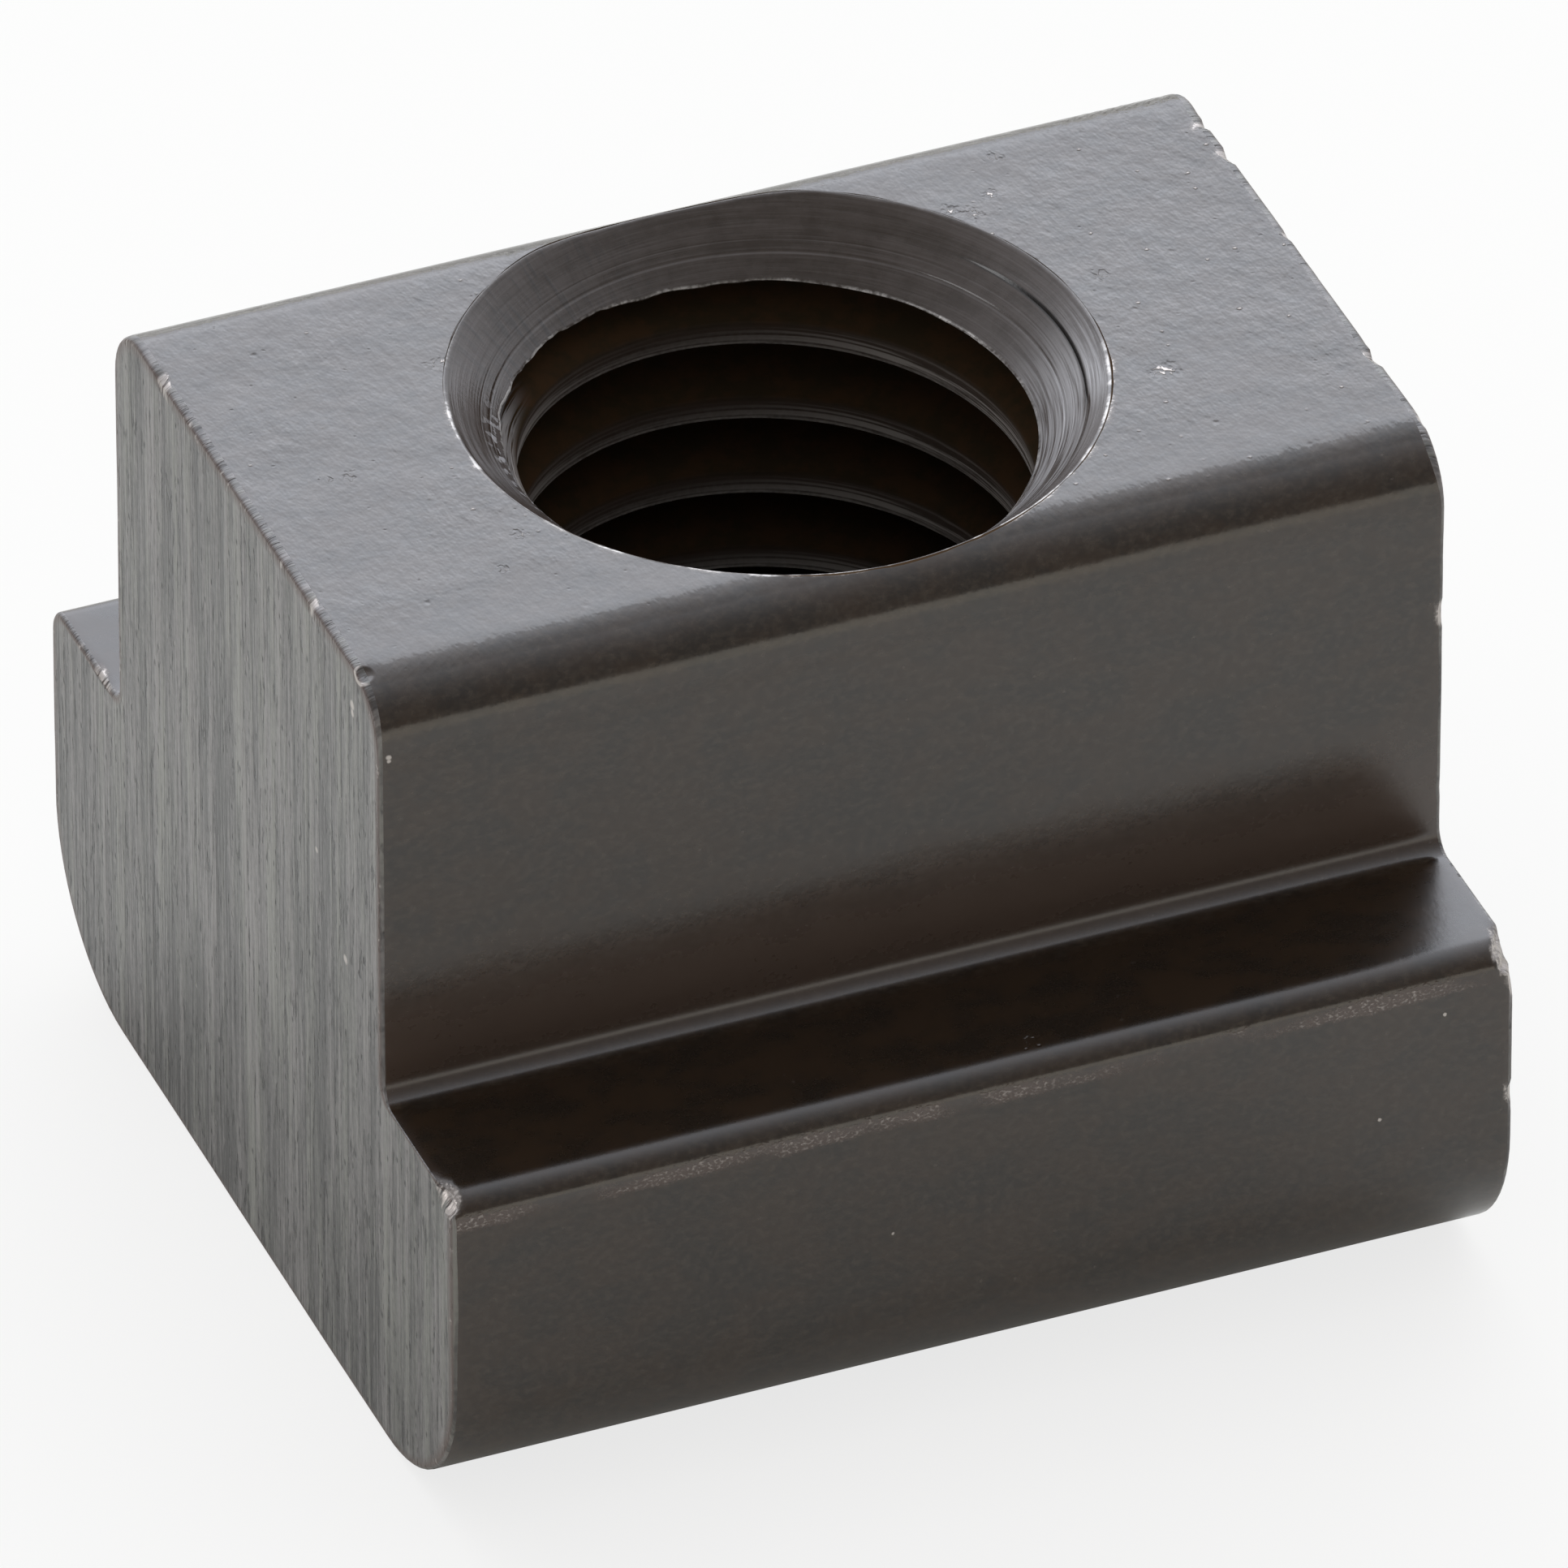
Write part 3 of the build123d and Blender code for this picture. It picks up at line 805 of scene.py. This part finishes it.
def cut_black():
    """Countersink with rings of tool marks, and the thread: scored crests between matt grooves."""
    finish = Finish("cut_black", IOR=OXIDE_IOR)
    place = finish.place()
    x, y, z = finish.xyz(place)
    azimuth = finish.maths("ARCTAN2", y, x)
    radius = finish.maths("SQRT", x * x + y * y)

    # countersink: rings, two plain score rings, and short chatter marks that run down the slope
    rings = finish.noise(finish.joined(x * 0.22, y * 0.22, radius * 7), 3, 0.65)
    hairs = finish.noise(finish.joined(x * 0.5, y * 0.5, radius * 26), 2, 0.6)
    broad = finish.noise(finish.joined(x * 0.3, y * 0.3, radius * 2.6), 2)
    chatter = finish.noise(finish.joined(x / radius * 45, y / radius * 45, radius * 2.2), 1)
    stain = finish.noise(finish.times(place, 2.4, 2.4, 2.4), 3, 0.65)
    hatched = finish.bell(azimuth, radians(128), radians(45))
    scored = finish.bell(radius, 4.68, 0.035) + 0.4 * finish.bell(radius, 4.83, 0.02)
    cone_relief = 0.009 * broad + 0.01 * rings + 0.003 * hairs + (0.001 + 0.006 * hatched) * chatter + 0.006 * stain - 0.006 * scored

    # the near right of the countersink and a little of its left are made pale: swarf scratch streaks together with a
    # painted reflection where those walls catch the light
    near_right = finish.ramp(azimuth, radians(-78), radians(-48)) * (1 - finish.ramp(azimuth, radians(-22), radians(12)))
    left = finish.ramp(finish.maths("ABSOLUTE", azimuth), radians(158), radians(184))
    streaks = finish.ramp(0.6 * hairs + 0.4 * rings, 0.4, 0.56)
    outer = finish.ramp(radius, 4.9, 5.2) * (1 - finish.ramp(azimuth, radians(-28), radians(-14)))
    scuffs_and_sheen = (0.85 * near_right * (1 - 0.65 * outer) + 0.45 * left) * (0.12 + 0.88 * streaks)
    # painted shadow: a near-black line along part of the step in the countersink
    painted_step_shadow = finish.bell(radius, STEP_RADIUS - 0.008, 0.035) * finish.ramp(azimuth, radians(-26), radians(-20)) * (
        1 - finish.ramp(azimuth, radians(20), radians(38)))

    # thread: where a place is within one turn of the helix, 0 in the middle of a crest
    turn = (z - CREST_LEVEL) / PITCH - azimuth / (2 * pi)
    along = turn - finish.maths("FLOOR", turn + 0.5)
    climb = along * PITCH
    crest = finish.ramp(climb, -CREST_HALF - 0.035, -CREST_HALF + 0.01) * (
        1 - finish.ramp(climb, CREST_HALF - 0.16, CREST_HALF + 0.02))
    low_edge = finish.bell(climb, 0.03 - CREST_HALF, 0.045)
    # painted reflection: crests are made paler towards the hole's sides, where they catch light at a grazing angle; the
    # scored lines are their own
    sides = 1 - finish.bell(azimuth, radians(97), radians(75))
    lines = finish.noise(finish.joined(x * 0.2, y * 0.2, climb * 19), 1, 0.6)
    dashes = finish.noise(finish.joined(x * 1.7, y * 1.7, climb * 13), 2, 0.6)
    lower_half = 1 - finish.ramp(climb, -CREST_HALF, (0.2 + 0.8 * sides) * CREST_HALF)
    lit = finish.ramp(0.85 * lines + 0.15 * dashes, 0.44, 0.56)
    crest_pale = finish.maths(
        "MAXIMUM", (0.03 + 0.14 * sides + (0.14 + 0.3 * sides) * lower_half) * (0.1 + 1.5 * lit),
        0.42 * low_edge * (0.5 + finish.ramp(dashes, 0.3, 0.6)))

    on_cone = (1 - finish.ramp(radius - (z - (HEIGHT - MOUTH_RIM)), 0.02, 0.04)) * finish.ramp(z, 13.3, 13.4)
    in_outlet = 1 - finish.ramp(z, OUTLET_RIM - CORE, OUTLET_RIM - CORE + 0.02)
    in_cone = finish.maths("MAXIMUM", on_cone, in_outlet)
    half_cut = finish.ramp(azimuth, radians(132), radians(152)) * finish.ramp(z, 13.15, 13.35) * (
        finish.ramp(0.5 * streaks + 0.5 * dashes, 0.3, 0.6))
    crest = finish.maths("MAXIMUM", crest, half_cut)
    on_crest = crest * (1 - in_cone)
    sparkle = finish.ramp(finish.noise(finish.times(place, 12, 12, 12), 2), 0.3, 0.65)
    # the bare mark holds the chips' bare metal and, round the mouth's rim, a painted highlight
    steel = finish.mark("bare") * (0.35 + 0.65 * sparkle)
    flakes = finish.ramp(finish.noise(finish.times(place, 6, 6, 4), 2, 0.6), 0.5, 0.62) * (
        finish.bell(finish.maths("ABSOLUTE", azimuth), radians(172), radians(30)) * finish.bell(radius, 4.55, 0.35))
    relief = (cone_relief + 0.012 * flakes) * in_cone + (0.006 * lines + 0.006 * dashes) * on_crest
    oxide = finish.mix(finish.ramp(0.6 * rings + 0.4 * stain, 0.33, 0.6), OXIDE, CUT_PALE)
    oxide = finish.mix(0.5 * hatched * finish.ramp(chatter, 0.5, 0.66), oxide, CHATTER_AND_SHADOW_BLACK)
    oxide = finish.mix(finish.maths("MAXIMUM", scuffs_and_sheen, flakes), oxide, SCUFF_AND_SHEEN_GREY)
    oxide = finish.mix(painted_step_shadow, oxide, CHATTER_AND_SHADOW_BLACK)
    oxide = finish.mix(on_crest, oxide, finish.mix(crest_pale, CREST_DARK, CREST_PALE))
    finish.feed(
        Base_Color=finish.mix(finish.ramp(steel, 0.0, 0.5), oxide, CUT_BARE), Metallic=0.35 * steel,
        Roughness=0.19 + 0.08 * rings + 0.25 * (1 - in_cone), Normal=finish.bumped(relief))

    # the grooves have next to no gloss of their own
    groove = finish.maths("MULTIPLY", 1 - crest, 1 - in_cone, clamp=True)
    blotches = finish.ramp(finish.noise(finish.times(place, 1.6, 1.6, 2.2), 4, 0.65), 0.36, 0.62)
    warm = finish.node("BsdfDiffuse", 0, Color=GROOVE, Roughness=0.5)
    cool = finish.node("BsdfDiffuse", 0, Color=GROOVE_COOL, Roughness=0.5)
    # painted light: each groove is made paler just under its crest
    under_crest = finish.ramp(climb, -PITCH / 2, 0.05 - CREST_HALF) * (1 - finish.ramp(climb, -0.1, 0.1))
    painted_light_under_crest = finish.node("BsdfDiffuse", 0, Color=GROOVE_PAINTED_LIGHT, Roughness=0.5)
    matt = finish.node("MixShader", 0, _0=blotches, _1=warm, _2=cool)
    matt = finish.node("MixShader", 0, _0=under_crest, _1=matt, _2=painted_light_under_crest)
    mixed = finish.node("MixShader", 0, _0=groove, _1=Value(finish, finish.shader.outputs[0]), _2=matt)
    finish.tree.links.new(mixed.socket, finish.tree.nodes["Material Output"].inputs["Surface"])
    return finish.material


for material in (drawn_black(), sawn_black(), cut_black()):
    nut_mesh.materials.append(material)

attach(nut, "root")
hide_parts(NODE)

# ---------------------------------------------------------------- studio
FLOOR_HALF = 3.0
FLOOR_GAP = 0.00001            # keeps the flat base and the floor from lying in one plane
floor_mesh = bpy.data.meshes.new("floor")
floor_mesh.from_pydata([
    (-FLOOR_HALF, -FLOOR_HALF, -FLOOR_GAP), (FLOOR_HALF, -FLOOR_HALF, -FLOOR_GAP),
    (FLOOR_HALF, FLOOR_HALF, -FLOOR_GAP), (-FLOOR_HALF, FLOOR_HALF, -FLOOR_GAP)], [], [(0, 1, 2, 3)])
floor = bpy.data.objects.new("floor", floor_mesh)
bpy.context.scene.collection.objects.link(floor)

paper = Finish("white_paper", Base_Color=(0.87, 0.855, 0.79, 1), Roughness=1.0, Specular_IOR_Level=0.0)
camera_ray, glossy_ray, through_ray = paper.node("LightPath", ["Is Camera Ray", "Is Glossy Ray", "Is Transmission Ray"])
glow = paper.node("Emission", 0, Color=(1, 1, 1, 1), Strength=1.0)
glow_share = paper.maths("ADD", 0.78 * camera_ray + 0.06 * glossy_ray, 0.78 * through_ray, clamp=True)
mixed = paper.node("MixShader", 0, _0=glow_share, _1=Value(paper, paper.shader.outputs[0]), _2=glow)
paper.tree.links.new(mixed.socket, paper.tree.nodes["Material Output"].inputs["Surface"])
floor_mesh.materials.append(paper.material)


def softbox(name, azimuth, elevation, distance, width, height, colour, radiance):
    """A rectangular lamp facing the nut; its power is its radiance times pi times its area."""
    lamp = bpy.data.lights.new(name, "AREA")
    lamp.shape = "RECTANGLE"
    lamp.size, lamp.size_y = width, height
    lamp.color = colour
    lamp.energy = radiance * pi * width * height
    stand = bpy.data.objects.new(name, lamp)
    place = Vector((sin(azimuth) * cos(elevation), cos(azimuth) * cos(elevation), sin(elevation))) * distance
    stand.matrix_world = Matrix.Translation(place) @ place.to_track_quat("Z", "Y").to_matrix().to_4x4()
    bpy.context.scene.collection.objects.link(stand)
    return stand


softbox("back_softbox", radians(12), radians(34), 0.8, 1.0, 0.55, (0.86, 0.91, 1.0), 1.0)
softbox("left_softbox", radians(-88), radians(13), 0.9, 0.6, 0.3, (0.98, 0.98, 1.0), 2.4)
softbox("front_card", radians(180), radians(4), 1.2, 2.4, 0.38, (1.0, 0.95, 0.835), 0.9)

# the tent round the nut: brightest towards the back light and dim at the front
world = bpy.data.worlds.new("studio")
bpy.context.scene.world = world
world.use_nodes = True
tent = world.node_tree
KEY = Vector((sin(radians(22)) * cos(radians(36)), cos(radians(22)) * cos(radians(36)), sin(radians(36))))


def tent_node(kind, settings, *values):
    node = tent.nodes.new("ShaderNode" + kind)
    for key, value in settings.items():
        setattr(node, key, value)
    for number, value in enumerate(values):
        if isinstance(value, bpy.types.NodeSocket):
            tent.links.new(value, node.inputs[number])
        else:
            node.inputs[number].default_value = value
    return node


direction = tent_node("TexCoord", {}).outputs["Generated"]
facing_key = tent_node("VectorMath", {"operation": "DOT_PRODUCT"}, direction, KEY).outputs["Value"]
halved = tent_node("Math", {"operation": "MULTIPLY_ADD"}, facing_key, 0.5, 0.5).outputs[0]
falling = tent_node("Math", {"operation": "POWER"}, halved, 4.0).outputs[0]
tent_node_mix = tent_node("Mix", {"data_type": "RGBA"}, falling)
tent_node_mix.inputs[6].default_value = (0.25, 0.245, 0.24, 1)
tent_node_mix.inputs[7].default_value = (2.05, 2.12, 2.3, 1)
tent.links.new(tent_node_mix.outputs[2], tent.nodes["Background"].inputs["Color"])
tent.nodes["Background"].inputs["Strength"].default_value = 1.0

# ---------------------------------------------------------------- camera
CAMERA_AZIMUTH = radians(-22.06)
CAMERA_ELEVATION = radians(35.99)
CAMERA_DISTANCE = 0.52498
LOOK_AT = Vector((0.113, 0.0, 6.563)) * MM
LENS = 735.0

lens = bpy.data.cameras.new("camera")
lens.sensor_width = 36.0
lens.lens = LENS
lens.clip_start, lens.clip_end = 0.01, 20.0
camera = bpy.data.objects.new("camera", lens)
towards = Vector((sin(CAMERA_AZIMUTH) * cos(CAMERA_ELEVATION),
                  -cos(CAMERA_AZIMUTH) * cos(CAMERA_ELEVATION), sin(CAMERA_ELEVATION)))
camera.matrix_world = Matrix.Translation(LOOK_AT + towards * CAMERA_DISTANCE) @ towards.to_track_quat("Z", "Y").to_matrix().to_4x4()
bpy.context.scene.collection.objects.link(camera)
bpy.context.scene.camera = camera
bpy.context.scene.view_settings.view_transform = "Standard"
